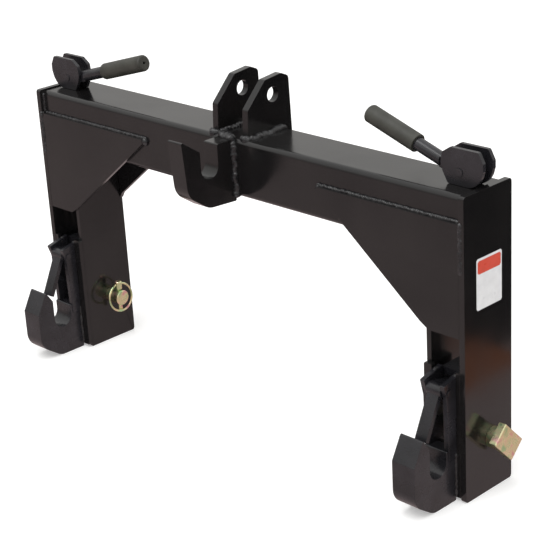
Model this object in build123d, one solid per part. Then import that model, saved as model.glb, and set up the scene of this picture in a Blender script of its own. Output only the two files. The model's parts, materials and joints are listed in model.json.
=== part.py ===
from build123d import *
import math
import os

# Quick hitch for a small tractor's three-point linkage, with its two lower latches closed.
# Millimetres. +X is to the right seen from the implement, +Y points at the tractor, +Z is up.
# Shapes are drawn with y = 0 on the front faces of the uprights and z = 0 on the ground, and
# export_node() moves them so that the origin is under the middle of the whole hitch.

# ---- Overall sizes ----
overall_width = 770.0            # over the outer side plates
crossbar_top = 382.0             # top face of the crossbar above the ground
tube_size = 76.2                 # square tube of the crossbar, outside
tube_wall = 6.35
tube_corner_radius = 7.0

# ---- Plate work ----
gusset_thickness = 6.35
web_thickness = gusset_thickness
side_plate_thickness = 8.0
inner_plate_thickness = 7.0
upright_width = 62.0             # outer face of the outer plate to inboard face of the inner plate
upright_depth = 87.0             # front face to back edge of the side plates
outer_plate_rise = 2.0           # the outer plates cap the tube and stand this far above it
plate_corner_radius = 4.0
gusset_below_top = 31.0          # the gussets' long edge, below the crossbar's top
gusset_bottom = 211.0
gusset_inboard_end = 160.0       # where the long upper edge of a gusset ends, from the middle
gusset_nose = 6.0                # blunt end of that long point
gusset_clip = 8.0                # clipped inboard lower corner
gusset_foot_overhang = 5.0       # inboard of the inner plate at that corner
web_bottom = 4.0
web_top = 168.0
web_corner_radius = 2.5
plate_edge_radius = 2.0          # eased corners of hooks, throats and lips

# ---- Lower hooks ----
hook_set_in = 32.0               # hook's centre plane, inboard of the upright's outer face
lower_hook_thickness = 34.0
lower_hook_reach = 75.0          # in front of the uprights
lower_tip_height = 103.5
lower_facet_height = 73.0
lower_heel_rise = 23.0
lower_heel_start = 42.0          # in front of the uprights, where the underside turns up
lower_heel_radius = 24.0
lower_throat_width = 29.6
lower_throat_centre = 32.2       # in front of the uprights
lower_throat_floor = 43.0
lower_tip_back = 58.0            # how far forward the crest of the tip stands
lower_tip_inner_height = 87.0    # top of the throat's front wall
shoulder_height = 71.0           # rear wall of the throat
throat_land = 0.01               # flat left at the bottom of each round throat

# ---- Top hook ----
top_hook_thickness = 25.0
top_hook_reach = 80.0
top_tip_above = 18.0             # the tip's crest, above the crossbar's top
top_hook_drop = 82.0             # the hook's underside, below it
top_throat_width = 29.0
top_throat_centre = 35.5
top_throat_depth = 41.0          # the throat's floor, below the crossbar's top
top_tip_inner_drop = 3.0         # the top of the throat's front wall, below it
top_heel_radius = 26.0
top_heel_start = 40.7            # where the underside turns up
top_heel_rise = 3.0              # and how much it has climbed there
top_shin_back = 6.0              # the heel's front stands this far behind the tip

# ---- Top-link clevis ----
clevis_gap = 44.6                # between the ears, for a category 1 top link
clevis_thickness = 10.0
clevis_hole_diameter = 19.6      # for a 19 mm pin
clevis_hole_y = 61.0
clevis_hole_above_crossbar = 48.0
clevis_height = 72.0
clevis_front = 14.0
clevis_bend_height = 37.0
clevis_front_slope = 2.0         # the ear's front edge leans back this much up to its bend
clevis_bend_radius = 5.0
clevis_crown_front = 48.0
clevis_crown_fall = 3.0          # the crown's front corner, below its highest point
clevis_crown_back = 15.0         # the crown's rear corner, ahead of the ear's back
clevis_nape = (2.0, 6.0)         # last corner of the crown: ahead of the back, below the top
clevis_crown_radius = 6.0
clevis_overhang = 9.5            # how far the ears hang behind the crossbar
clevis_lip_drop = 8.0            # and how far down behind it

# ---- Lower latches ----
latch_swing = 27.0               # degrees from closed to open
latch_width = 22.0
latch_side_gap = 0.5
latch_boss_radius = 8.0
latch_limb_width = 17.0
latch_limb_depth = 6.5
latch_limb_front = 5.5           # its front face, ahead of the pivot's centre
latch_limb_length = 63.0
latch_limb_lean = 25.5           # degrees forward of straight down when closed
latch_tail_depth = 16.0
latch_pivot_y = -12.0
latch_pivot_z = 146.0
pivot_pin_diameter = 8.0
link_pin_diameter = 8.0
pin_proud = 1.5                  # riveted ends of both pins, beyond the plates they go through
slot_clearance = 0.3
guard_thickness = 6.5
guard_reach = 21.5
guard_top = 157.0
guard_back_rise = 8.0            # the guards' top edge climbs this much on its way back
guard_waist_reach = 16.0
guard_waist_height = 141.0
guard_waist_radius = 12.0
guard_nose_radius = 1.5
guard_foot_reach = 13.8
guard_bottom = 58.0
guard_back = 12.0                # how far the guards run back inside the upright

# ---- Pull rods, cams and levers ----
rod_lift = 18.0
lever_swing = 90.0               # degrees
rod_diameter = 12.0
cam_pin_rest_height = 16.0       # above the crossbar with the latch closed
cam_thickness = 5.0
cam_rest_gap = 0.3
cam_crown = 27.8                 # cam outline, measured from its pin
cam_crown_outboard = 27.0
cam_crown_inboard = 13.0
cam_tail = 27.0                  # inboard of the pin
cam_tail_corners = ((2.0, 20.0), (0.0, 8.0), (2.5, -2.0))   # (short of the tail's reach, above the pin)
cam_heel = 17.0
cam_lobe_land = 4.0
cam_corner_radius = 3.0
cam_pin_diameter = 10.0
cam_pin_proud = 1.0
eye_radius = 9.5
eye_side_gap = 0.5
lever_diameter = 16.0
lever_angle = 15.9               # degrees above level at rest
lever_axis_drop = 2.9            # the lever's axis passes this far under the cam pin
lever_skew = 4.0                 # degrees that the lever leans towards the tractor
lever_skew_crossing = 43.0       # from the cam pin to where its axis crosses the rod's plane
lever_root_height = 14.0         # forged root between the cams, as wide as their gap
lever_root_margin = 5.0          # the root runs on past the cams
lever_start = 11.5               # from the cam pin to the lever's inner end
lever_length = 154.5             # cam pin to the end of the grip
grip_length = 81.0
grip_diameter = 22.5
grip_end_thickness = 4.0
grip_end_radius = 3.0
grip_mouth_radius = 1.0
grip_vent_diameter = 4.0

# ---- Springs and guides ----
spring_wire = 3.0
spring_mean_diameter = 20.0
spring_coils = 9
spring_seat_height = 222.0       # top face of the collar at rest
collar_thickness = 8.0
collar_diameter = 27.0
collar_chamfer = 0.8
collar_pin_diameter = 4.0
collar_pin_proud = 0.5
washer_thickness = 2.0
washer_diameter = 28.0
bush_diameter = 18.0
bush_flange_diameter = 24.0
bush_flange_thickness = 2.5
bush_length = 12.0
fork_cheek_thickness = 5.0
fork_eye_radius = 9.0
fork_bridge_rise = 14.0          # from the link pin up to the underside of the bridge
fork_bridge_height = 10.0
fork_back_margin = 1.0           # behind the rod it is welded to
fork_heel_radius = 4.0

# ---- Hitch pins for the tractor's lower links ----
hitch_pin_diameter = 22.2
hitch_pin_y = 50.0
hitch_pin_z = 70.0
hitch_pin_inboard_end = 26.0     # beyond the inner plate
hitch_neck_diameter = 27.0
hitch_neck_length = 14.0
hitch_head_length = 45.5
hitch_head_width = 29.0
hitch_head_thickness = 10.5
hitch_head_turn = -45.5          # degrees from level to the head's long way
hitch_head_chamfer = 1.0
hitch_tip_chamfer = 0.8
linch_from_end = 8.0
linch_diameter = 6.5
linch_below = 24.0
linch_head_diameter = 10.0
linch_head_height = 12.5
linch_head_gap = 1.0             # between the hitch pin and the linch pin's head
ring_wire = 3.0
ring_mean_radius = 20.5
ring_tilt = 8.0                  # degrees, so that the ring closes beside the linch pin's tip
ring_below_head = 4.1            # ring hole under the top of the linch pin's head

# ---- Fits ----
running_clearance = 0.06         # radial
loose_clearance = 0.5
neck_gap = 0.3

# ---- Derived places ----
outer_face = overall_width / 2
outer_plate_inner = outer_face - side_plate_thickness
inner_plate_inboard = outer_face - upright_width
crossbar_bottom = crossbar_top - tube_size
crossbar_front = gusset_thickness
crossbar_back = crossbar_front + tube_size
crossbar_middle = crossbar_front + tube_size / 2
station_x = outer_face - hook_set_in   # hook, latch, pull rod and cam share this plane
latch_half = latch_width / 2
guard_inside = latch_half + latch_side_gap
guard_outside = guard_inside + guard_thickness
cam_pin_z = crossbar_top + cam_pin_rest_height
cam_gap = rod_diameter + 2 * eye_side_gap
cam_outer_y = cam_gap / 2 + cam_thickness
latch_arm = rod_lift / 2 / math.tan(math.radians(latch_swing / 2))
link_pin_y = latch_pivot_y + latch_arm
link_pin_z = latch_pivot_z - rod_lift / 2
fork_top = link_pin_z + fork_bridge_rise + fork_bridge_height
spring_top = crossbar_bottom - washer_thickness
gusset_top = crossbar_top - gusset_below_top
hitch_head_inner = outer_face + neck_gap + hitch_neck_length
hitch_head_outer = hitch_head_inner + hitch_head_thickness
hitch_tip = inner_plate_inboard - hitch_pin_inboard_end
linch_x = hitch_tip + linch_from_end
linch_head_bottom = hitch_pin_z + hitch_pin_diameter / 2 + linch_head_gap
linch_head_top = linch_head_bottom + linch_head_height
ring_pivot_z = linch_head_top - ring_below_head
depth_front = top_hook_reach
depth_back = crossbar_back + clevis_overhang
origin_y = (depth_back - depth_front) / 2


def rounded_face(corners):
    """Closed flat face through corners (u, v, radius); a radius of 0 leaves a corner sharp."""
    count = len(corners)
    points = [Vector(u, v) for u, v, _ in corners]
    bends = []
    for index, (_, _, radius) in enumerate(corners):
        here = points[index]
        back = (points[index - 1] - here).normalized()
        ahead = (points[(index + 1) % count] - here).normalized()
        half = math.radians(back.get_angle(ahead)) / 2
        setback = radius / math.tan(half)
        middle = here + (back + ahead).normalized() * (radius / math.sin(half) - radius)
        bends.append((here + back * setback, middle, here + ahead * setback, radius))
    edges = []
    for index, (start, middle, end, radius) in enumerate(bends):
        if radius > 0:
            edges.append(ThreePointArc(start, middle, end))
        edges.append(Line(end, bends[(index + 1) % count][0]))
    return make_face(edges)


def side_plate(corners, x_low, thickness):
    """Plate lying in the Y-Z plane, from corners given as (y, z, radius)."""
    return extrude(Plane.YZ.offset(x_low) * rounded_face(corners), thickness)


def front_plate(corners, y_low, thickness):
    """Plate lying in the X-Z plane, from corners given as (x, z, radius)."""
    return extrude(Plane.XZ.offset(-y_low - thickness) * rounded_face(corners), thickness)


def rod_along_x(x_low, x_high, y, z, diameter):
    place = Plane(origin=(x_low, y, z), x_dir=(0, 1, 0), z_dir=(1, 0, 0))
    return extrude(place * Circle(diameter / 2), x_high - x_low)


def rod_along_y(x, y_low, y_high, z, diameter):
    place = Plane(origin=(x, y_low, z), x_dir=(0, 0, 1), z_dir=(0, 1, 0))
    return extrude(place * Circle(diameter / 2), y_high - y_low)


def rod_along_z(x, y, z_low, z_high, diameter):
    return extrude(Plane.XY.offset(z_low) * Pos(x, y) * Circle(diameter / 2), z_high - z_low)


def block(x_low, x_high, y_low, y_high, z_low, z_high):
    size = Box(x_high - x_low, y_high - y_low, z_high - z_low, align=(Align.MIN,) * 3)
    return Pos(x_low, y_low, z_low) * size


# ---- Welded frame ----

def crossbar():
    """Square tube between the outer plates, bored for the pull rods' bushes."""
    plane = Plane.YZ.offset(-outer_plate_inner)
    centre = Pos(crossbar_middle, crossbar_top - tube_size / 2)
    outside = centre * RectangleRounded(tube_size, tube_size, tube_corner_radius)
    bore = tube_size - 2 * tube_wall
    inside = centre * RectangleRounded(bore, bore, max(tube_corner_radius - tube_wall, 1.0))
    tube = extrude(plane * (outside - inside), 2 * outer_plate_inner)
    for side in (-1, 1):
        tube -= rod_along_z(side * station_x, crossbar_middle, crossbar_bottom - 1,
                            crossbar_top + 1, bush_diameter)
    return tube


def hitch_pin_hole():
    reach = inner_plate_inboard - 1
    return rod_along_x(reach, outer_face + 1, hitch_pin_y, hitch_pin_z,
                       hitch_pin_diameter + 2 * running_clearance)


def outer_plate():
    top = crossbar_top + outer_plate_rise
    corners = [(0, 0, plate_corner_radius), (upright_depth, 0, plate_corner_radius),
               (upright_depth, top, plate_corner_radius), (0, top, plate_corner_radius)]
    return side_plate(corners, outer_plate_inner, side_plate_thickness) - hitch_pin_hole()


def inner_plate():
    corners = [(web_thickness, 0, 0), (upright_depth, 0, plate_corner_radius),
               (upright_depth, crossbar_bottom, 0), (web_thickness, crossbar_bottom, 0)]
    return side_plate(corners, inner_plate_inboard, inner_plate_thickness) - hitch_pin_hole()


def front_gusset():
    """Covers the corner from the crossbar's face down to the window in the upright."""
    corners = [(gusset_inboard_end, gusset_top, 0), (outer_plate_inner, gusset_top, 0),
               (outer_plate_inner, gusset_bottom, 0),
               (inner_plate_inboard + gusset_clip, gusset_bottom, 0),
               (inner_plate_inboard - gusset_foot_overhang, gusset_bottom + gusset_clip, 0),
               (gusset_inboard_end, gusset_top - gusset_nose, 0)]
    return front_plate(corners, 0, gusset_thickness)


def rear_gusset():
    """Same corner at the back, kept off the slot between the two side plates."""
    corners = [(gusset_inboard_end, gusset_top, 0), (outer_plate_inner, gusset_top, 0),
               (outer_plate_inner, crossbar_bottom, 0), (inner_plate_inboard, crossbar_bottom, 0),
               (inner_plate_inboard, gusset_bottom, 0),
               (inner_plate_inboard - gusset_foot_overhang, gusset_bottom + gusset_clip, 0),
               (gusset_inboard_end, gusset_top - gusset_nose, 0)]
    return front_plate(corners, crossbar_back, gusset_thickness)


def front_web():
    """Front wall of the upright under the window, slotted for the latch and its guards."""
    slot_low = station_x - guard_outside
    slot_high = station_x + guard_outside
    corners = [(inner_plate_inboard, web_bottom, web_corner_radius), (outer_plate_inner, web_bottom, 0),
               (outer_plate_inner, web_top, 0), (slot_high, web_top, 0),
               (slot_high, shoulder_height, 0), (slot_low, shoulder_height, 0),
               (slot_low, web_top, 0), (inner_plate_inboard, web_top, web_corner_radius)]
    return front_plate(corners, 0, web_thickness)


def throat_corners(centre, width, floor, front_top, back_top):
    """Corners of a round-floored throat, front wall first."""
    front = -centre - width / 2
    back = -centre + width / 2
    rounding = width / 2 - throat_land
    return [(front, front_top, plate_edge_radius), (front, floor, rounding),
            (back, floor, rounding), (back, back_top, plate_edge_radius)]


def lower_hook():
    """Hook for the implement's lower pin, with rebates for the feet of the latch guards."""
    reach = lower_hook_reach
    outline = [(0, 0, plate_edge_radius), (-lower_heel_start, 0, lower_heel_radius),
               (-reach, lower_heel_rise, lower_heel_radius),
               (-reach, lower_facet_height, plate_edge_radius / 2),
               (-lower_tip_back, lower_tip_height, plate_edge_radius)]
    outline += throat_corners(lower_throat_centre, lower_throat_width, lower_throat_floor,
                              lower_tip_inner_height, shoulder_height)
    outline += [(0, shoulder_height, 0)]
    hook = side_plate(outline, station_x - lower_hook_thickness / 2, lower_hook_thickness)
    return hook - latch_guard_inner() - latch_guard_outer()


def top_hook():
    """Hook for the implement's top pin, welded to the middle of the crossbar's face."""
    reach = top_hook_reach
    shin = reach - top_shin_back
    bottom = crossbar_top - top_hook_drop
    outline = [(crossbar_front, bottom, plate_edge_radius),
               (-top_heel_start, bottom + top_heel_rise, top_heel_radius),
               (-shin, bottom + top_heel_radius, top_heel_radius),
               (-reach, crossbar_top + top_tip_above, plate_edge_radius)]
    outline += throat_corners(top_throat_centre, top_throat_width, crossbar_top - top_throat_depth,
                              crossbar_top - top_tip_inner_drop, crossbar_top)
    outline += [(crossbar_front, crossbar_top, 0)]
    return side_plate(outline, -top_hook_thickness / 2, top_hook_thickness)


def clevis_ear():
    """Right ear of the top-link clevis; its heel hangs over the crossbar's rear edge."""
    top = crossbar_top + clevis_height
    back = crossbar_back + clevis_overhang
    ahead, below = clevis_nape
    corners = [(clevis_front, crossbar_top, 0),
               (clevis_front + clevis_front_slope, crossbar_top + clevis_bend_height, clevis_bend_radius),
               (clevis_crown_front, top - clevis_crown_fall, clevis_bend_radius),
               (back - clevis_crown_back, top, clevis_crown_radius),
               (back - ahead, top - below, clevis_crown_radius),
               (back, crossbar_top - clevis_lip_drop, plate_edge_radius),
               (crossbar_back, crossbar_top - clevis_lip_drop, 0), (crossbar_back, crossbar_top, 0)]
    ear = side_plate(corners, clevis_gap / 2, clevis_thickness)
    hole_z = crossbar_top + clevis_hole_above_crossbar
    return ear - rod_along_x(0, overall_width, clevis_hole_y, hole_z, clevis_hole_diameter)


# ---- Latch ----

def latch_guard(x_low):
    """Side plate that shields the latch and carries its pivot pin."""
    back_top = guard_top + guard_back_rise
    corners = [(0, guard_bottom, 0), (-guard_foot_reach, guard_bottom, 0),
               (-guard_waist_reach, guard_waist_height, guard_waist_radius),
               (-guard_reach, guard_top, guard_nose_radius),
               (guard_back, back_top, 0), (guard_back, shoulder_height, 0), (0, shoulder_height, 0)]
    plate = side_plate(corners, x_low, guard_thickness)
    return plate - rod_along_x(x_low - 1, x_low + guard_thickness + 1, latch_pivot_y,
                               latch_pivot_z, pivot_pin_diameter)


def latch_guard_inner():
    return latch_guard(station_x - guard_outside)


def latch_guard_outer():
    return latch_guard(station_x + guard_inside)


def latch_bar(lean, length, side_low, side_high, width):
    """Straight bar of the latch, leaning by an angle from straight down about the pivot."""
    angle = math.radians(lean)
    direction = Vector(-math.sin(angle), -math.cos(angle))
    sideways = Vector(-math.cos(angle), math.sin(angle))
    pivot = Vector(latch_pivot_y, latch_pivot_z)
    spans = [(0, side_low), (length, side_low), (length, side_high), (0, side_high)]
    corners = [pivot + direction * along + sideways * side for along, side in spans]
    return side_plate([(corner.X, corner.Y, 0) for corner in corners], station_x - width / 2, width)


def latch():
    """Bell-crank latch: the limb closes the throat and the slotted tail takes the pull rod."""
    x_low = station_x - latch_half
    x_high = station_x + latch_half
    tail_lean = latch_swing / 2 - 90
    far = latch_arm / math.cos(math.radians(latch_swing / 2))
    slot_middle = (latch_arm + far) / 2
    body = rod_along_x(x_low, x_high, latch_pivot_y, latch_pivot_z, 2 * latch_boss_radius)
    body += latch_bar(latch_limb_lean, latch_limb_length, latch_limb_front - latch_limb_depth,
                      latch_limb_front, latch_limb_width)
    body += latch_bar(tail_lean, slot_middle, -latch_tail_depth / 2, latch_tail_depth / 2,
                      latch_width)
    turn = math.radians(-latch_swing / 2)
    tail_end = (latch_pivot_y + slot_middle * math.cos(turn),
                latch_pivot_z + slot_middle * math.sin(turn))
    body += rod_along_x(x_low, x_high, *tail_end, latch_tail_depth)
    body -= rod_along_x(x_low - 1, x_high + 1, latch_pivot_y, latch_pivot_z,
                        pivot_pin_diameter + 2 * running_clearance)
    slot_width = link_pin_diameter + 2 * slot_clearance
    slot_length = far - latch_arm + slot_width
    slot_plane = Plane(origin=(x_low - 1, *tail_end), z_dir=(1, 0, 0),
                       x_dir=(0, math.cos(turn), math.sin(turn)))
    return body - extrude(slot_plane * SlotOverall(slot_length, slot_width), latch_width + 2)


def latch_pivot_pin():
    reach = guard_outside + pin_proud
    return rod_along_x(station_x - reach, station_x + reach, latch_pivot_y, latch_pivot_z,
                       pivot_pin_diameter)


# ---- Pull rod ----

def rod_fork():
    """Fork welded under the pull rod; its cheeks straddle the latch's tail."""
    y_low = link_pin_y - fork_eye_radius
    y_high = crossbar_middle + rod_diameter / 2 + fork_back_margin
    inside = latch_half + loose_clearance
    outside = inside + fork_cheek_thickness
    bridge_bottom = link_pin_z + fork_bridge_rise
    body = block(station_x - outside, station_x + outside, y_low, y_high,
                 link_pin_z - fork_eye_radius, fork_top)
    body -= block(station_x - inside, station_x + inside, y_low - 1, y_high + 1,
                  link_pin_z - fork_eye_radius - 1, bridge_bottom)
    lower_edges = body.edges().filter_by(Axis.X).group_by(Axis.Z)[0]
    body = fillet(lower_edges, fork_heel_radius)
    return body - rod_along_x(station_x - outside - 1, station_x + outside + 1, link_pin_y,
                              link_pin_z, link_pin_diameter)


def link_pin():
    reach = latch_half + loose_clearance + fork_cheek_thickness + pin_proud
    return rod_along_x(station_x - reach, station_x + reach, link_pin_y, link_pin_z,
                       link_pin_diameter)


def pull_rod():
    """Round rod with a forged eye at its top for the cam pin."""
    eye_half = cam_gap / 2 - eye_side_gap
    body = rod_along_z(station_x, crossbar_middle, fork_top, cam_pin_z, rod_diameter)
    body += rod_along_y(station_x, crossbar_middle - eye_half, crossbar_middle + eye_half,
                        cam_pin_z, 2 * eye_radius)
    body -= rod_along_y(station_x, crossbar_middle - cam_gap, crossbar_middle + cam_gap,
                        cam_pin_z, cam_pin_diameter + 2 * running_clearance)
    collar_middle = spring_seat_height - collar_thickness / 2
    return body - rod_along_x(station_x - rod_diameter, station_x + rod_diameter, crossbar_middle,
                              collar_middle, collar_pin_diameter)


def spring_collar():
    """Collar pinned to the rod; the spring pushes on its upper face."""
    body = rod_along_z(station_x, crossbar_middle, spring_seat_height - collar_thickness,
                       spring_seat_height, collar_diameter)
    body = chamfer(body.edges().filter_by(GeomType.CIRCLE), collar_chamfer)
    body -= rod_along_z(station_x, crossbar_middle, 0, crossbar_top, rod_diameter)
    collar_middle = spring_seat_height - collar_thickness / 2
    return body - rod_along_x(station_x - collar_diameter, station_x + collar_diameter,
                              crossbar_middle, collar_middle, collar_pin_diameter)


def collar_pin():
    half = collar_diameter / 2 + collar_pin_proud
    return rod_along_x(station_x - half, station_x + half, crossbar_middle,
                       spring_seat_height - collar_thickness / 2, collar_pin_diameter)


def return_spring():
    """Compression spring with its ends on the collar and the washer."""
    height = spring_top - spring_seat_height - spring_wire
    base = (station_x, crossbar_middle, spring_seat_height + spring_wire / 2)
    path = Pos(*base) * Helix(height / spring_coils, height, spring_mean_diameter / 2)
    section = Plane(origin=path @ 0, z_dir=path % 0) * Circle(spring_wire / 2)
    return sweep(section, path=path)


def spring_washer():
    body = rod_along_z(station_x, crossbar_middle, spring_top, crossbar_bottom, washer_diameter)
    return body - rod_along_z(station_x, crossbar_middle, 0, crossbar_top,
                              rod_diameter + 2 * loose_clearance)


def rod_bushes():
    """Two flanged bushes that guide the rod through the crossbar's lower and upper walls."""
    lower = rod_along_z(station_x, crossbar_middle, crossbar_bottom,
                        crossbar_bottom + bush_length, bush_diameter)
    lower += rod_along_z(station_x, crossbar_middle, crossbar_bottom + tube_wall,
                         crossbar_bottom + tube_wall + bush_flange_thickness, bush_flange_diameter)
    upper = rod_along_z(station_x, crossbar_middle, crossbar_top - bush_length, crossbar_top,
                        bush_diameter)
    upper += rod_along_z(station_x, crossbar_middle,
                         crossbar_top - tube_wall - bush_flange_thickness,
                         crossbar_top - tube_wall, bush_flange_diameter)
    bore = rod_along_z(station_x, crossbar_middle, 0, crossbar_top + 1,
                       rod_diameter + 2 * running_clearance)
    return [lower - bore, upper - bore]


# ---- Cam and lever ----

def cam_outline():
    """Cam edge about its pin, as x outboard and z up: flat bottom, rising lobe, blunt top.

    The lobe's reach grows in step with the lever's turn, so the rod rises evenly.
    """
    rest_reach = cam_pin_rest_height - cam_rest_gap
    growth = rod_lift / math.radians(lever_swing)

    def lobe(turn):
        reach = rest_reach + growth * turn
        outward = (math.sin(turn), -math.cos(turn))
        along = (math.cos(turn), math.sin(turn))
        return Vector(outward[0] * reach + along[0] * growth, outward[1] * reach + along[1] * growth)

    full = math.radians(lever_swing)
    steps = 8
    points = [lobe(full * step / steps) for step in range(steps + 1)]
    ahead = Vector(math.cos(full), math.sin(full))
    edges = [Spline(*points, tangents=[Vector(1, 0), ahead])]
    corners = [points[-1] + ahead * cam_lobe_land, Vector(cam_crown_outboard, cam_crown),
               Vector(-cam_crown_inboard, cam_crown)]
    corners += [Vector(short - cam_tail, rise) for short, rise in cam_tail_corners]
    corners += [Vector(-cam_heel, -rest_reach)]
    stops = [points[-1]] + corners + [points[0]]
    edges += [Line(a, b) for a, b in zip(stops, stops[1:])]
    face = make_face(edges)
    sharp = [vertex for vertex in face.vertices()
             if min((Vector(vertex) - corner).length for corner in corners) < 0.01]
    return fillet(sharp, cam_corner_radius)


def cam_plate(y_low):
    place = Plane(origin=(station_x, y_low + cam_thickness, cam_pin_z), x_dir=(1, 0, 0),
                  z_dir=(0, -1, 0))
    plate = extrude(place * cam_outline(), cam_thickness)
    return plate - rod_along_y(station_x, y_low - 1, y_low + cam_thickness + 1, cam_pin_z,
                               cam_pin_diameter)


def cam_front():
    return cam_plate(crossbar_middle - cam_outer_y)


def cam_rear():
    return cam_plate(crossbar_middle + cam_gap / 2)


def cam_pin():
    reach = cam_outer_y + cam_pin_proud
    return rod_along_y(station_x, crossbar_middle - reach, crossbar_middle + reach, cam_pin_z,
                       cam_pin_diameter)


def lever_plane(distance, skew_angle=lever_skew):
    """Plane across the lever's axis, at a distance from the cam pin; its normal points inboard."""
    angle = math.radians(lever_angle)
    along = Vector(-math.cos(angle), 0, math.sin(angle))
    below = Vector(-math.sin(angle), 0, -math.cos(angle))
    skew = math.radians(skew_angle)
    axis = along * math.cos(skew) + Vector(0, math.sin(skew), 0)
    crossing = Vector(0, -math.sin(skew) * lever_skew_crossing, 0)
    pin = Vector(station_x, crossbar_middle, cam_pin_z)
    return Plane(origin=pin + crossing + below * lever_axis_drop + axis * distance, x_dir=below,
                 z_dir=axis)


def lever_rod():
    """Round lever with a forged flat root that fills the gap between the cam plates."""
    length = lever_length - grip_end_thickness - lever_start
    body = extrude(lever_plane(lever_start) * Circle(lever_diameter / 2), length)
    root_length = cam_tail + lever_root_margin - lever_start
    trim = lever_diameter
    for y_low in (crossbar_middle - cam_gap / 2 - trim, crossbar_middle + cam_gap / 2):
        body -= block(station_x - cam_tail - lever_root_margin, station_x, y_low, y_low + trim,
                      crossbar_top, crossbar_top + lever_length)
    root = Rectangle(lever_root_height, cam_gap)
    return body + extrude(lever_plane(lever_start, skew_angle=0) * root, root_length)


def lever_grip():
    """Rubber sleeve pushed over the lever, closed at its end but for a small vent."""
    body = extrude(lever_plane(lever_length - grip_length) * Circle(grip_diameter / 2), grip_length)
    ends = body.edges().filter_by(GeomType.CIRCLE).sort_by(Axis.Z)
    body = fillet(ends[-1:], grip_end_radius)
    ends = body.edges().filter_by(GeomType.CIRCLE).sort_by(Axis.Z)
    body = fillet(ends[:1], grip_mouth_radius)
    body -= extrude(lever_plane(0) * Circle(lever_diameter / 2), lever_length - grip_end_thickness)
    return body - extrude(lever_plane(0) * Circle(grip_vent_diameter / 2), lever_length + 1)


# ---- Hitch pin ----

def hitch_pin():
    """Lower-link pin with a flat oblong head, a shoulder and a cross hole near its inboard end."""
    body = rod_along_x(hitch_tip, outer_face + neck_gap, hitch_pin_y, hitch_pin_z,
                       hitch_pin_diameter)
    tip_edge = body.edges().filter_by(GeomType.CIRCLE).sort_by(Axis.X)[:1]
    body = chamfer(tip_edge, hitch_tip_chamfer)
    body += rod_along_x(outer_face + neck_gap, hitch_head_inner, hitch_pin_y, hitch_pin_z,
                        hitch_neck_diameter)
    turn = math.radians(hitch_head_turn)
    place = Plane(origin=(hitch_head_inner, hitch_pin_y, hitch_pin_z),
                  x_dir=(0, math.cos(turn), math.sin(turn)), z_dir=(1, 0, 0))
    head = extrude(place * Rectangle(hitch_head_length, hitch_head_width), hitch_head_thickness)
    head = chamfer(head.edges(), hitch_head_chamfer)
    body += head
    return body - rod_along_z(linch_x, hitch_pin_y, 0, crossbar_bottom,
                              linch_diameter + 2 * running_clearance)


def linch_pin():
    """Round-nosed cross pin; the ring hangs in a cross hole in its head."""
    body = rod_along_z(linch_x, hitch_pin_y, hitch_pin_z - linch_below, linch_head_bottom + 1,
                       linch_diameter)
    nose = body.edges().filter_by(GeomType.CIRCLE).sort_by(Axis.Z)[:1]
    body = chamfer(nose, linch_diameter / 4)
    head = rod_along_z(linch_x, hitch_pin_y, linch_head_bottom, linch_head_top, linch_head_diameter)
    rims = head.edges().filter_by(GeomType.CIRCLE)
    body += chamfer(rims, linch_head_diameter / 10)
    head_half = linch_head_diameter / 2
    ring_sagitta = ring_mean_radius - math.sqrt(ring_mean_radius ** 2 - head_half ** 2)
    hole = ring_wire + 2 * (ring_sagitta + running_clearance)
    return body - rod_along_y(linch_x, hitch_pin_y - linch_head_diameter,
                              hitch_pin_y + linch_head_diameter, ring_pivot_z, hole)


def linch_ring():
    """Wire ring hinged in the linch pin's head; it hangs round the hitch pin's inboard end."""
    tilt = math.radians(ring_tilt)
    down = Vector(-math.sin(tilt), 0, -math.cos(tilt))
    centre = Vector(linch_x, hitch_pin_y, ring_pivot_z) + down * ring_mean_radius
    normal = Vector(math.cos(tilt), 0, -math.sin(tilt))
    return Plane(origin=centre, x_dir=(0, 1, 0), z_dir=normal) * Torus(ring_mean_radius, ring_wire / 2)


# ---- Assembly ----

def mirrored(shape):
    return mirror(shape, about=Plane.YZ)


def export_node(name, solids):
    """Write one node, moved so that the origin is under the middle of the hitch."""
    moved = [Pos(0, -origin_y, 0) * solid for solid in solids]
    shape = moved[0] if len(moved) == 1 else Compound(children=moved)
    export_step(shape, os.path.join("parts", name + ".step"))


def as_list(shape):
    return list(shape) if isinstance(shape, list) else [shape]


handed_nodes = {
    "outer_plate": outer_plate,
    "inner_plate": inner_plate,
    "front_gusset": front_gusset,
    "rear_gusset": rear_gusset,
    "front_web": front_web,
    "lower_hook": lower_hook,
    "clevis_ear": clevis_ear,
    "latch_guard_inner": latch_guard_inner,
    "latch_guard_outer": latch_guard_outer,
    "latch": latch,
    "latch_pivot_pin": latch_pivot_pin,
    "rod_fork": rod_fork,
    "link_pin": link_pin,
    "pull_rod": pull_rod,
    "spring_collar": spring_collar,
    "collar_pin": collar_pin,
    "return_spring": return_spring,
    "spring_washer": spring_washer,
    "rod_bushes": rod_bushes,
    "cam_front": cam_front,
    "cam_rear": cam_rear,
    "cam_pin": cam_pin,
    "lever_rod": lever_rod,
    "lever_grip": lever_grip,
    "hitch_pin": hitch_pin,
    "linch_pin": linch_pin,
    "linch_ring": linch_ring,
}

os.makedirs("parts", exist_ok=True)
export_node("crossbar", [crossbar()])
export_node("top_hook", [top_hook()])
for node_name, make in handed_nodes.items():
    right = as_list(make())
    export_node(node_name + "_right", right)
    export_node(node_name + "_left", [mirrored(solid) for solid in right])
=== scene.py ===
import json
import math

import bmesh
import bpy
from mathutils import Matrix, Vector, noise

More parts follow.
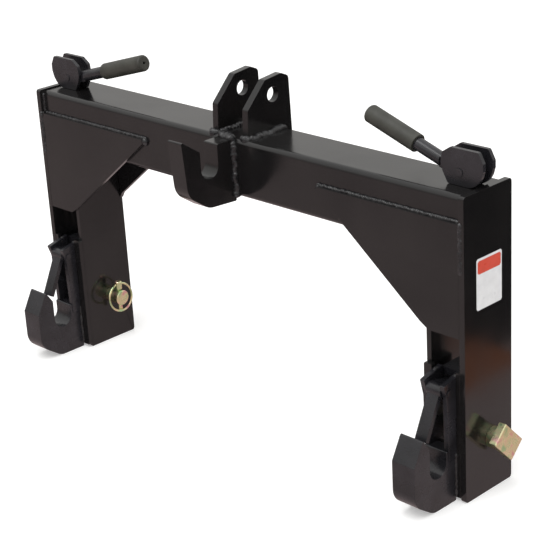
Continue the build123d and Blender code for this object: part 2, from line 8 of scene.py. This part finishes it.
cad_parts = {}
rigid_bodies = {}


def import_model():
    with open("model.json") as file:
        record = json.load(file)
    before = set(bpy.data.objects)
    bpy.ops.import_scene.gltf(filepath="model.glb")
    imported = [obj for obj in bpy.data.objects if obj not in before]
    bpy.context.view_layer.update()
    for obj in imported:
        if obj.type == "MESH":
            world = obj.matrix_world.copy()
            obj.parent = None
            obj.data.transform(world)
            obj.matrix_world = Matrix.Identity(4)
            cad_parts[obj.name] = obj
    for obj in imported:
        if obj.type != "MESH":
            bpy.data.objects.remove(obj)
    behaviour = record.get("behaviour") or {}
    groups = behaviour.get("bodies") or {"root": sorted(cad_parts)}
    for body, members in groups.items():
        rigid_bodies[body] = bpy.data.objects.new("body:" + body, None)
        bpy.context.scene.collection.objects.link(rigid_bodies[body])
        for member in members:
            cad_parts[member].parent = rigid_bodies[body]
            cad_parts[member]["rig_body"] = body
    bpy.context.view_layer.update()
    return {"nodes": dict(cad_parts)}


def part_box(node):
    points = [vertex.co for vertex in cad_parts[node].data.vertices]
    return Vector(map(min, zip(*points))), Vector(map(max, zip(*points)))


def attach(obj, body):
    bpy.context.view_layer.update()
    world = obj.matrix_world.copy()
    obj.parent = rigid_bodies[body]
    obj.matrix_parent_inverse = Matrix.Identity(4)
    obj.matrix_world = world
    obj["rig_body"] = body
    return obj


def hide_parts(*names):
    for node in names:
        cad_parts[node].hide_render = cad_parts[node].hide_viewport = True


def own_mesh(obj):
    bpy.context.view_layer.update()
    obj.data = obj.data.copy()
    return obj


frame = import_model()

MM = 0.001
UP = Vector((0, 0, 1))
SIDES = {"right": 1, "left": -1}


# ---- Places read from the frame ----

def low(node):
    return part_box(node)[0]


def high(node):
    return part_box(node)[1]


CROSSBAR_FRONT = low("crossbar").y
CROSSBAR_BACK = high("crossbar").y
CROSSBAR_TOP = high("crossbar").z
FRONT_PLANE = low("front_gusset_right").y


# ---- Shader helpers ----

NOISE_LOW = 0.3                  # a noise field's values seldom leave this span
NOISE_HIGH = 0.7


def new_material(name, base, roughness, metallic=0.0):
    """Principled material and the pieces that its detail is wired to."""
    material = bpy.data.materials.new(name)
    material.use_nodes = True
    shader = material.node_tree.nodes["Principled BSDF"]
    shader.inputs["Base Color"].default_value = (*base, 1.0)
    shader.inputs["Roughness"].default_value = roughness
    shader.inputs["Metallic"].default_value = metallic
    return material, material.node_tree, shader


def noise_field(tree, scale, detail=4.0, stretch=(1.0, 1.0, 1.0)):
    """Noise over the object's own coordinates; returns its 0..1 output."""
    place = tree.nodes.new("ShaderNodeTexCoord")
    mapping = tree.nodes.new("ShaderNodeMapping")
    mapping.inputs["Scale"].default_value = stretch
    field = tree.nodes.new("ShaderNodeTexNoise")
    field.inputs["Scale"].default_value = scale
    field.inputs["Detail"].default_value = detail
    tree.links.new(place.outputs["Object"], mapping.inputs["Vector"])
    tree.links.new(mapping.outputs["Vector"], field.inputs["Vector"])
    return field.outputs["Fac"]


def ramp(tree, source, stops):
    """Colour ramp over a field, from stops given as (position, colour)."""
    node = tree.nodes.new("ShaderNodeValToRGB")
    elements = node.color_ramp.elements
    while len(elements) < len(stops):
        elements.new(0.5)
    for element, (position, colour) in zip(elements, stops):
        element.position = position
        element.color = (*colour, 1.0)
    tree.links.new(source, node.inputs["Fac"])
    return node.outputs["Color"]


def remap(tree, source, low_value, high_value):
    """Spread a noise field's usual span over low_value to high_value."""
    node = tree.nodes.new("ShaderNodeMapRange")
    node.inputs["From Min"].default_value = NOISE_LOW
    node.inputs["From Max"].default_value = NOISE_HIGH
    node.inputs["To Min"].default_value = low_value
    node.inputs["To Max"].default_value = high_value
    tree.links.new(source, node.inputs["Value"])
    return node.outputs["Result"]


def add_bump(tree, shader, source, strength, distance):
    bump = tree.nodes.new("ShaderNodeBump")
    bump.inputs["Strength"].default_value = strength
    bump.inputs["Distance"].default_value = distance
    tree.links.new(source, bump.inputs["Height"])
    tree.links.new(bump.outputs["Normal"], shader.inputs["Normal"])


# ---- Materials ----

def black_paint():
    """Sprayed gloss black with faint orange peel and dusty, duller patches."""
    material, tree, shader = new_material("black_paint", (0.006, 0.006, 0.0065), 0.16)
    stops = [(0.3, (0.004, 0.004, 0.0045)), (0.75, (0.011, 0.010, 0.010))]
    shade = ramp(tree, noise_field(tree, 9.0), stops)
    tree.links.new(shade, shader.inputs["Base Color"])
    tree.links.new(remap(tree, noise_field(tree, 14.0, 6.0), 0.11, 0.24), shader.inputs["Roughness"])
    add_bump(tree, shader, noise_field(tree, 420.0, 2.0), 0.05, 0.0006)
    return material


def worn_black_paint():
    """Thinner, duller black on the hooks, latches and cams."""
    material, tree, shader = new_material("worn_black_paint", (0.02, 0.02, 0.023), 0.33)
    stops = [(0.3, (0.008, 0.008, 0.010)), (0.72, (0.022, 0.021, 0.025))]
    shade = ramp(tree, noise_field(tree, 30.0, 6.0), stops)
    tree.links.new(shade, shader.inputs["Base Color"])
    tree.links.new(remap(tree, noise_field(tree, 45.0, 6.0), 0.18, 0.36), shader.inputs["Roughness"])
    add_bump(tree, shader, noise_field(tree, 260.0, 4.0), 0.12, 0.0008)
    return material


def weld_paint():
    """Gloss black over rough weld metal."""
    material, tree, shader = new_material("weld_paint", (0.015, 0.015, 0.016), 0.2)
    stops = [(0.35, (0.005, 0.005, 0.006)), (0.8, (0.030, 0.030, 0.032))]
    shade = ramp(tree, noise_field(tree, 160.0, 6.0), stops)
    tree.links.new(shade, shader.inputs["Base Color"])
    tree.links.new(remap(tree, noise_field(tree, 120.0), 0.08, 0.26), shader.inputs["Roughness"])
    add_bump(tree, shader, noise_field(tree, 700.0, 5.0), 0.5, 0.0010)
    return material


def zinc_steel():
    """Grey zinc with fine turning marks."""
    material, tree, shader = new_material("zinc_steel", (0.36, 0.36, 0.35), 0.34, 1.0)
    stops = [(0.3, (0.24, 0.24, 0.235)), (0.7, (0.44, 0.44, 0.43))]
    shade = ramp(tree, noise_field(tree, 60.0, 5.0), stops)
    tree.links.new(shade, shader.inputs["Base Color"])
    tree.links.new(remap(tree, noise_field(tree, 90.0), 0.26, 0.46), shader.inputs["Roughness"])
    add_bump(tree, shader, noise_field(tree, 300.0, 3.0, (1.0, 1.0, 6.0)), 0.08, 0.0004)
    return material


def yellow_zinc():
    """Passivated yellow zinc with its green and pink tints."""
    material, tree, shader = new_material("yellow_zinc", (0.72, 0.60, 0.34), 0.28, 1.0)
    tints = [(0.36, (0.50, 0.72, 0.40)), (0.47, (0.84, 0.80, 0.48)), (0.56, (0.92, 0.80, 0.52)),
             (0.66, (0.86, 0.46, 0.46))]
    tree.links.new(ramp(tree, noise_field(tree, 85.0, 5.0), tints), shader.inputs["Base Color"])
    tree.links.new(remap(tree, noise_field(tree, 110.0, 5.0), 0.2, 0.42), shader.inputs["Roughness"])
    add_bump(tree, shader, noise_field(tree, 380.0, 4.0), 0.1, 0.0005)
    return material


def grip_rubber():
    """Olive-black moulded rubber with a fine grain."""
    material, tree, shader = new_material("grip_rubber", (0.03, 0.03, 0.024), 0.55)
    stops = [(0.3, (0.022, 0.022, 0.017)), (0.7, (0.042, 0.042, 0.034))]
    shade = ramp(tree, noise_field(tree, 40.0, 5.0), stops)
    tree.links.new(shade, shader.inputs["Base Color"])
    tree.links.new(remap(tree, noise_field(tree, 70.0), 0.46, 0.64), shader.inputs["Roughness"])
    add_bump(tree, shader, noise_field(tree, 900.0, 2.0), 0.25, 0.0005)
    return material


def decal_film(name, colour):
    """Printed vinyl film, slightly mottled."""
    material, tree, shader = new_material(name, colour, 0.32)
    darker = tuple(part * 0.9 for part in colour)
    tree.links.new(ramp(tree, noise_field(tree, 120.0), [(0.3, darker), (0.7, colour)]),
                   shader.inputs["Base Color"])
    tree.links.new(remap(tree, noise_field(tree, 80.0), 0.26, 0.4), shader.inputs["Roughness"])
    return material


def floor_paint():
    material, _, shader = new_material("pale_floor", (0.86, 0.86, 0.86), 0.9)
    shader.inputs["Specular IOR Level"].default_value = 0.0
    shader.inputs["Emission Color"].default_value = (1.0, 1.0, 1.0, 1.0)
    shader.inputs["Emission Strength"].default_value = 0.32
    return material


PAINT = black_paint()
WORN = worn_black_paint()
WELD = weld_paint()
ZINC = zinc_steel()
YELLOW = yellow_zinc()
RUBBER = grip_rubber()


# ---- Meshes ----

SAME_POINT = 1e-6
FLAT_ANGLE = math.radians(0.5)   # facets closer than this to one plane are joined
SHARP_DEGREES = 40               # edges sharper than this keep their crease
EDGE_DEGREES = 35                # edges sharper than this are rounded
EDGE_SEGMENTS = 2
BEAD_SIDES = 14
SPRING_SIDES = 10


def body_of(node):
    return frame["nodes"][node]["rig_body"]


def add_object(name, mesh, material, body):
    mesh.materials.clear()
    mesh.materials.append(material)
    piece = bpy.data.objects.new(name, mesh)
    bpy.context.scene.collection.objects.link(piece)
    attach(piece, body)
    return piece


def smooth_by_angle(mesh, degrees):
    mesh.shade_smooth()
    mesh.set_sharp_from_angle(angle=math.radians(degrees))


def eased_copy(node, width, material):
    """The node's own shape with its sharp edges rounded; it stands for the node."""
    mesh = frame["nodes"][node].data.copy()
    if "custom_normal" in mesh.attributes:
        mesh.attributes.remove(mesh.attributes["custom_normal"])
    shape = bmesh.new()
    shape.from_mesh(mesh)
    bmesh.ops.remove_doubles(shape, verts=shape.verts, dist=SAME_POINT)
    bmesh.ops.dissolve_limit(shape, angle_limit=FLAT_ANGLE, verts=shape.verts, edges=shape.edges)
    shape.to_mesh(mesh)
    shape.free()
    smooth_by_angle(mesh, SHARP_DEGREES)
    piece = add_object(node + ".finish", mesh, material, body_of(node))
    bevel = piece.modifiers.new("edges", "BEVEL")
    bevel.width = width
    bevel.segments = EDGE_SEGMENTS
    bevel.limit_method = "ANGLE"
    bevel.angle_limit = math.radians(EDGE_DEGREES)
    bevel.use_clamp_overlap = True
    bake_modifiers(piece)
    smooth_by_angle(piece.data, SHARP_DEGREES)
    even = piece.modifiers.new("flat_faces", "WEIGHTED_NORMAL")
    even.mode = "FACE_AREA"
    even.keep_sharp = True
    bake_modifiers(piece)
    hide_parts(node)
    return piece


def bake_modifiers(piece):
    graph = bpy.context.evaluated_depsgraph_get()
    done = bpy.data.meshes.new_from_object(piece.evaluated_get(graph))
    piece.modifiers.clear()
    piece.data = done


def tube_mesh(name, rings):
    """Closed skin over rings of points, one ring after another."""
    shape = bmesh.new()
    loops = [[shape.verts.new(point) for point in ring] for ring in rings]
    count = len(loops[0])
    for first, second in zip(loops, loops[1:]):
        for index in range(count):
            after = (index + 1) % count
            shape.faces.new((first[index], first[after], second[after], second[index]))
    shape.faces.new(list(reversed(loops[0])))
    shape.faces.new(loops[-1])
    bmesh.ops.recalc_face_normals(shape, faces=shape.faces)
    mesh = bpy.data.meshes.new(name)
    shape.to_mesh(mesh)
    shape.free()
    return mesh


def weld_bead(name, start, end, kind, seed):
    """Weld run from start to end: overlapping ripples, uneven in width and height."""
    radius, lump = BEADS[kind]
    start, end = Vector(start), Vector(end)
    run = end - start
    along = run.normalized()
    side = along.orthogonal().normalized()
    other = along.cross(side)
    pitch = radius * 0.9
    step = pitch / 4
    count = max(int(run.length / step), 8)
    rings = []
    for index in range(count + 1):
        share = index / count
        centre = start + run * share
        distance = share * run.length
        ripple = abs(math.sin(math.pi * distance / pitch))
        end_taper = min(1.0, (0.35 + min(share, 1 - share) * run.length / radius))
        ring = []
        for turn in range(BEAD_SIDES):
            angle = 2 * math.pi * turn / BEAD_SIDES
            out = side * math.cos(angle) + other * math.sin(angle)
            bump = noise.noise((centre + out * radius + Vector((seed, seed, seed))) / (radius * 1.3))
            fine = noise.noise((centre + out * radius) / (radius * 0.35) + Vector((seed, 0, 0)))
            size = radius * end_taper * (0.82 + 0.16 * ripple + lump * bump + 0.10 * fine)
            ring.append(centre + out * size)
        rings.append(ring)
    mesh = tube_mesh(name, rings)
    smooth_by_angle(mesh, 75)
    return add_object(name, mesh, WELD, "frame")


# ---- Painted plate work ----

PLATE_EDGE = 0.7 * MM
HOOK_EDGE = 1.0 * MM
SMALL_EDGE = 0.4 * MM


def finish_plates():
    eased_copy("crossbar", PLATE_EDGE, PAINT)
    eased_copy("top_hook", HOOK_EDGE, PAINT)
    plain = ("outer_plate", "inner_plate", "front_gusset", "rear_gusset", "front_web")
    for side in SIDES:
        for kind in plain:
            eased_copy(f"{kind}_{side}", PLATE_EDGE, PAINT)
        eased_copy(f"clevis_ear_{side}", PLATE_EDGE, PAINT)
        eased_copy(f"lower_hook_{side}", HOOK_EDGE, WORN)
        for kind in ("latch_guard_inner", "latch_guard_outer", "latch", "rod_fork", "cam_front",
                     "cam_rear", "lever_rod"):
            eased_copy(f"{kind}_{side}", SMALL_EDGE, WORN)


def finish_hardware():
    for side in SIDES:
        eased_copy(f"latch_pivot_pin_{side}", SMALL_EDGE, WORN)
        for kind in ("link_pin", "pull_rod", "spring_collar", "collar_pin", "spring_washer", "rod_bushes"):
            eased_copy(f"{kind}_{side}", SMALL_EDGE, ZINC)
        eased_copy(f"cam_pin_{side}", SMALL_EDGE, WORN)
        eased_copy(f"hitch_pin_{side}", SMALL_EDGE, YELLOW)
        eased_copy(f"linch_pin_{side}", SMALL_EDGE, YELLOW)
        eased_copy(f"linch_ring_{side}", SMALL_EDGE, YELLOW)
        eased_copy(f"lever_grip_{side}", SMALL_EDGE, RUBBER)


# ---- Springs ----

SPRING_TURNS = 11
SPRING_DEAD_TURNS = 1.0          # closed turns at each end
SPRING_STEPS_PER_TURN = 28
WIRE_RADIUS = 1.5 * MM


def return_spring(side):
    """Compression spring with closed end turns."""
    node = f"return_spring_{side}"
    lowest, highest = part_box(node)
    coil = (highest.x - lowest.x) / 2 - WIRE_RADIUS
    centre = (lowest + highest) / 2
    rise = highest.z - lowest.z - 2 * WIRE_RADIUS
    dead = SPRING_DEAD_TURNS / SPRING_TURNS
    dead_rise = 2 * WIRE_RADIUS / rise
    total = SPRING_TURNS * SPRING_STEPS_PER_TURN
    rings = []
    for step in range(total + 1):
        share = step / total
        if share < dead:
            level = share / dead * dead_rise
        elif share > 1 - dead:
            level = 1 - (1 - share) / dead * dead_rise
        else:
            level = dead_rise + (share - dead) / (1 - 2 * dead) * (1 - 2 * dead_rise)
        angle = 2 * math.pi * SPRING_TURNS * share
        out = Vector((math.cos(angle), math.sin(angle), 0))
        middle = Vector((centre.x, centre.y, lowest.z + WIRE_RADIUS + level * rise)) + out * coil
        turns = (2 * math.pi * k / SPRING_SIDES for k in range(SPRING_SIDES))
        rings.append([middle + (out * math.cos(turn) + UP * math.sin(turn)) * WIRE_RADIUS
                      for turn in turns])
    mesh = tube_mesh(node + ".coil", rings)
    mesh.shade_smooth()
    spring = add_object(node + ".coil", mesh, ZINC, "frame")
    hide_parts(node)
    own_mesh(spring)


# ---- Weld beads ----

BEADS = {                        # radius, unevenness
    "gusset_top": (3.2 * MM, 0.3),
    "gusset_tip": (4.6 * MM, 0.55),
    "gusset_edge": (4.2 * MM, 0.4),
    "ear_outer": (6.0 * MM, 0.45),
    "ear_inner": (5.2 * MM, 0.45),
    "ear_front": (7.0 * MM, 0.6),
    "top_hook": (5.6 * MM, 0.5),
    "hook_crest": (6.4 * MM, 0.6),
    "bar_end": (2.6 * MM, 0.3),
    "guard": (3.4 * MM, 0.5),
    "lower_hook": (2.6 * MM, 0.3),
}


def span_from_middle(node):
    """How far the node's two X faces are from the middle of the hitch, near one first."""
    return sorted((abs(low(node).x), abs(high(node).x)))


def gusset_welds(side, sign):
    inboard, outboard = span_from_middle(f"front_gusset_{side}")
    top = high(f"front_gusset_{side}").z
    seat = high(f"front_gusset_{side}").y - 0.5 * MM
    weld_bead(f"weld_gusset_top_{side}", (sign * (inboard - 4 * MM), seat, top),
              (sign * (outboard - 2 * MM), seat, top), "gusset_top", 1.0 + sign)
    tip = sign * (inboard - 1 * MM)
    weld_bead(f"weld_gusset_tip_{side}", (tip, seat, top - 10 * MM), (tip, seat, top + 2 * MM),
              "gusset_tip", 3.0 + sign)
    edge = sign * (outboard + 2 * MM)
    front = FRONT_PLANE + 2 * MM
    weld_bead(f"weld_gusset_edge_{side}", (edge, front, top - 62 * MM), (edge, front, top + 3 * MM),
              "gusset_edge", 5.0 + sign)
    rear_seat = low(f"rear_gusset_{side}").y + 0.5 * MM
    weld_bead(f"weld_rear_gusset_{side}", (sign * (inboard - 2 * MM), rear_seat, top),
              (sign * (outboard - 2 * MM), rear_seat, top), "gusset_top", 7.0 + sign)


def clevis_welds(side, sign):
    inner, outer = span_from_middle(f"clevis_ear_{side}")
    front = low("clevis_ear_right").y
    for label, place in (("outer", outer), ("inner", inner)):
        weld_bead(f"weld_ear_{label}_{side}", (sign * place, front + 1 * MM, CROSSBAR_TOP),
                  (sign * place, CROSSBAR_BACK - 2 * MM, CROSSBAR_TOP), f"ear_{label}",
                  9.0 + sign + inner)
    weld_bead(f"weld_ear_front_{side}", (sign * (inner - 2 * MM), front, CROSSBAR_TOP),
              (sign * (outer + 3 * MM), front, CROSSBAR_TOP), "ear_front", 11.0 + sign)


def bar_face_welds(side, sign):
    hook_side = sign * high("top_hook").x
    weld_bead(f"weld_top_hook_{side}", (hook_side, CROSSBAR_FRONT, low("top_hook").z + 4 * MM),
              (hook_side, CROSSBAR_FRONT, CROSSBAR_TOP - 2 * MM), "top_hook", 13.0 + sign)
    plate_inside = sign * low("outer_plate_right").x
    weld_bead(f"weld_bar_end_{side}", (plate_inside, CROSSBAR_FRONT, CROSSBAR_TOP - 31 * MM),
              (plate_inside, CROSSBAR_FRONT, CROSSBAR_TOP - 3 * MM), "bar_end", 15.0 + sign)


def guard_welds(side):
    for place in ("inner", "outer"):
        node = f"latch_guard_{place}_{side}"
        middle = (low(node).x + high(node).x) / 2
        top = high(node).z
        weld_bead(f"weld_guard_{place}_{side}", (middle, FRONT_PLANE - 1 * MM, top - 9 * MM),
                  (middle, FRONT_PLANE + 6 * MM, top - 1 * MM), "guard", 17.0 + middle)


def lower_hook_welds(side):
    node = f"lower_hook_{side}"
    for label, place in (("low", low(node).x), ("high", high(node).x)):
        weld_bead(f"weld_lower_hook_{side}_{label}", (place, FRONT_PLANE, 6 * MM),
                  (place, FRONT_PLANE, 64 * MM), "lower_hook", place * 100)


def frame_welds():
    for side, sign in SIDES.items():
        gusset_welds(side, sign)
        clevis_welds(side, sign)
        bar_face_welds(side, sign)
        guard_welds(side)
        lower_hook_welds(side)
    crest = CROSSBAR_FRONT + 1 * MM
    weld_bead("weld_top_hook_crest", (-14 * MM, crest, CROSSBAR_TOP), (14 * MM, crest, CROSSBAR_TOP),
              "hook_crest", 21.0)


# ---- Decal ----

def decal():
    """Plain film on the right outer plate: a white panel with one band of colour."""
    plate_low, plate_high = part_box("outer_plate_right")
    face = plate_high.x
    back, front = plate_high.y - 19 * MM, plate_low.y + 22 * MM
    bottom, top = CROSSBAR_TOP - 141 * MM, CROSSBAR_TOP - 78 * MM
    film = 0.25 * MM
    white = decal_film("decal_white", (0.72, 0.72, 0.73))
    red = decal_film("decal_red", (0.62, 0.07, 0.04))
    inset = 2 * MM
    panels = (("decal_panel", front, back, bottom, top, film, white),
              ("decal_band", front + inset, back - inset, top - 19 * MM, top - 3 * MM, film * 1.6, red))
    for name, y0, y1, z0, z1, depth, material in panels:
        shape = bmesh.new()
        bmesh.ops.create_cube(shape, size=1.0)
        size = Matrix.Diagonal((depth, y1 - y0, z1 - z0, 1.0))
        place = Matrix.Translation((face + depth / 2, (y0 + y1) / 2, (z0 + z1) / 2))
        bmesh.ops.transform(shape, matrix=place @ size, verts=shape.verts)
        corners = [edge for edge in shape.edges
                   if abs(edge.verts[0].co.x - edge.verts[1].co.x) > depth / 2]
        bmesh.ops.bevel(shape, geom=corners, offset=1.5 * MM, segments=3, affect="EDGES")
        mesh = bpy.data.meshes.new(name)
        shape.to_mesh(mesh)
        shape.free()
        add_object(name, mesh, material, "frame")


# ---- Studio ----

CAMERA_AZIMUTH = 46.25
CAMERA_ELEVATION = 22.15
CAMERA_ROLL = -3.33
CAMERA_DISTANCE = 2029.84 * MM
CAMERA_TARGET = Vector((81.57 * MM, FRONT_PLANE, 215.87 * MM))
CAMERA_LENS = 105.17


def camera():
    azimuth, elevation = math.radians(CAMERA_AZIMUTH), math.radians(CAMERA_ELEVATION)
    back = Vector((math.sin(azimuth) * math.cos(elevation), -math.cos(azimuth) * math.cos(elevation),
                   math.sin(elevation)))
    level = Vector((math.cos(azimuth), math.sin(azimuth), 0))
    upward = back.cross(level)
    roll = math.radians(CAMERA_ROLL)
    right = level * math.cos(roll) + upward * math.sin(roll)
    up = upward * math.cos(roll) - level * math.sin(roll)
    data = bpy.data.cameras.new("camera")
    data.lens = CAMERA_LENS
    data.sensor_width = 36.0
    data.clip_start = 0.05
    eye = bpy.data.objects.new("camera", data)
    turn = Matrix((right, up, back)).transposed().to_4x4()
    eye.matrix_world = Matrix.Translation(CAMERA_TARGET + back * CAMERA_DISTANCE) @ turn
    bpy.context.scene.collection.objects.link(eye)
    bpy.context.scene.camera = eye


def world():
    """White to the eye; for light and reflections, a bright ceiling over a brown-grey workshop."""
    data = bpy.data.worlds.new("studio")
    bpy.context.scene.world = data
    data.use_nodes = True
    tree = data.node_tree
    tree.nodes.clear()
    output = tree.nodes.new("ShaderNodeOutputWorld")
    mix = tree.nodes.new("ShaderNodeMixShader")
    sight = tree.nodes.new("ShaderNodeLightPath")
    seen = tree.nodes.new("ShaderNodeBackground")
    lit = tree.nodes.new("ShaderNodeBackground")
    seen.inputs["Color"].default_value = (1, 1, 1, 1)
    place = tree.nodes.new("ShaderNodeTexCoord")
    split = tree.nodes.new("ShaderNodeSeparateXYZ")
    height = tree.nodes.new("ShaderNodeMapRange")
    height.inputs["From Min"].default_value = -1.0
    tree.links.new(place.outputs["Generated"], split.inputs["Vector"])
    tree.links.new(split.outputs["Z"], height.inputs["Value"])
    sky = ramp(tree, height.outputs["Result"],
               [(0.25, (0.62, 0.50, 0.49)), (0.47, (0.42, 0.34, 0.33)), (0.56, (0.45, 0.43, 0.42)),
                (0.68, (0.92, 0.91, 0.88)), (1.0, (1.15, 1.15, 1.15))])
    tree.links.new(sky, lit.inputs["Color"])
    tree.links.new(sight.outputs["Is Camera Ray"], mix.inputs["Fac"])
    tree.links.new(lit.outputs["Background"], mix.inputs[1])
    tree.links.new(seen.outputs["Background"], mix.inputs[2])
    tree.links.new(mix.outputs["Shader"], output.inputs["Surface"])


def area_light(name, place, aim, size, power):
    data = bpy.data.lights.new(name, "AREA")
    data.size = size
    data.energy = power
    lamp = bpy.data.objects.new(name, data)
    lamp.location = place
    lamp.rotation_euler = (Vector(aim) - Vector(place)).to_track_quat("-Z", "Y").to_euler()
    bpy.context.scene.collection.objects.link(lamp)


def reflection_card(name, x_span, y_span, height, glow):
    """Level card behind the right end, seen only as a reflection in the paint."""
    shape = bmesh.new()
    left, right = x_span
    near, far = y_span
    corners = [(left, near), (right, near), (right, far), (left, far)]
    shape.faces.new([shape.verts.new((x, y, height)) for x, y in corners])
    mesh = bpy.data.meshes.new(name)
    shape.to_mesh(mesh)
    shape.free()
    card = bpy.data.objects.new(name, mesh)
    material, _, shader = new_material(name, (0.01, 0.01, 0.01), 1.0)
    shader.inputs["Specular IOR Level"].default_value = 0.0
    shader.inputs["Emission Color"].default_value = (*glow, 1.0)
    shader.inputs["Emission Strength"].default_value = 1.0
    mesh.materials.append(material)
    bpy.context.scene.collection.objects.link(card)
    card.visible_camera = False
    card.visible_diffuse = False
    card.visible_shadow = False


def floor():
    shape = bmesh.new()
    bmesh.ops.create_grid(shape, x_segments=1, y_segments=1, size=6.0)
    mesh = bpy.data.meshes.new("floor")
    shape.to_mesh(mesh)
    shape.free()
    mesh.materials.append(floor_paint())
    ground = bpy.data.objects.new("floor", mesh)
    bpy.context.scene.collection.objects.link(ground)
    ground.visible_glossy = False


camera()
finish_plates()
finish_hardware()
for side_name in SIDES:
    return_spring(side_name)
frame_welds()
decal()
world()
floor()
reflection_card("dark_card", (0.62, 3.5), (0.22, 3.5), 2 * MM, (0.0, 0.0, 0.0))
reflection_card("warm_card", (0.565, 0.67), (0.14, 0.36), 4 * MM, (0.62, 0.22, 0.10))
area_light("overhead", (0.2, -0.9, 2.2), (0.0, 0.0, 0.2), 1.6, 22.0)
bpy.context.scene.view_settings.view_transform = "Standard"
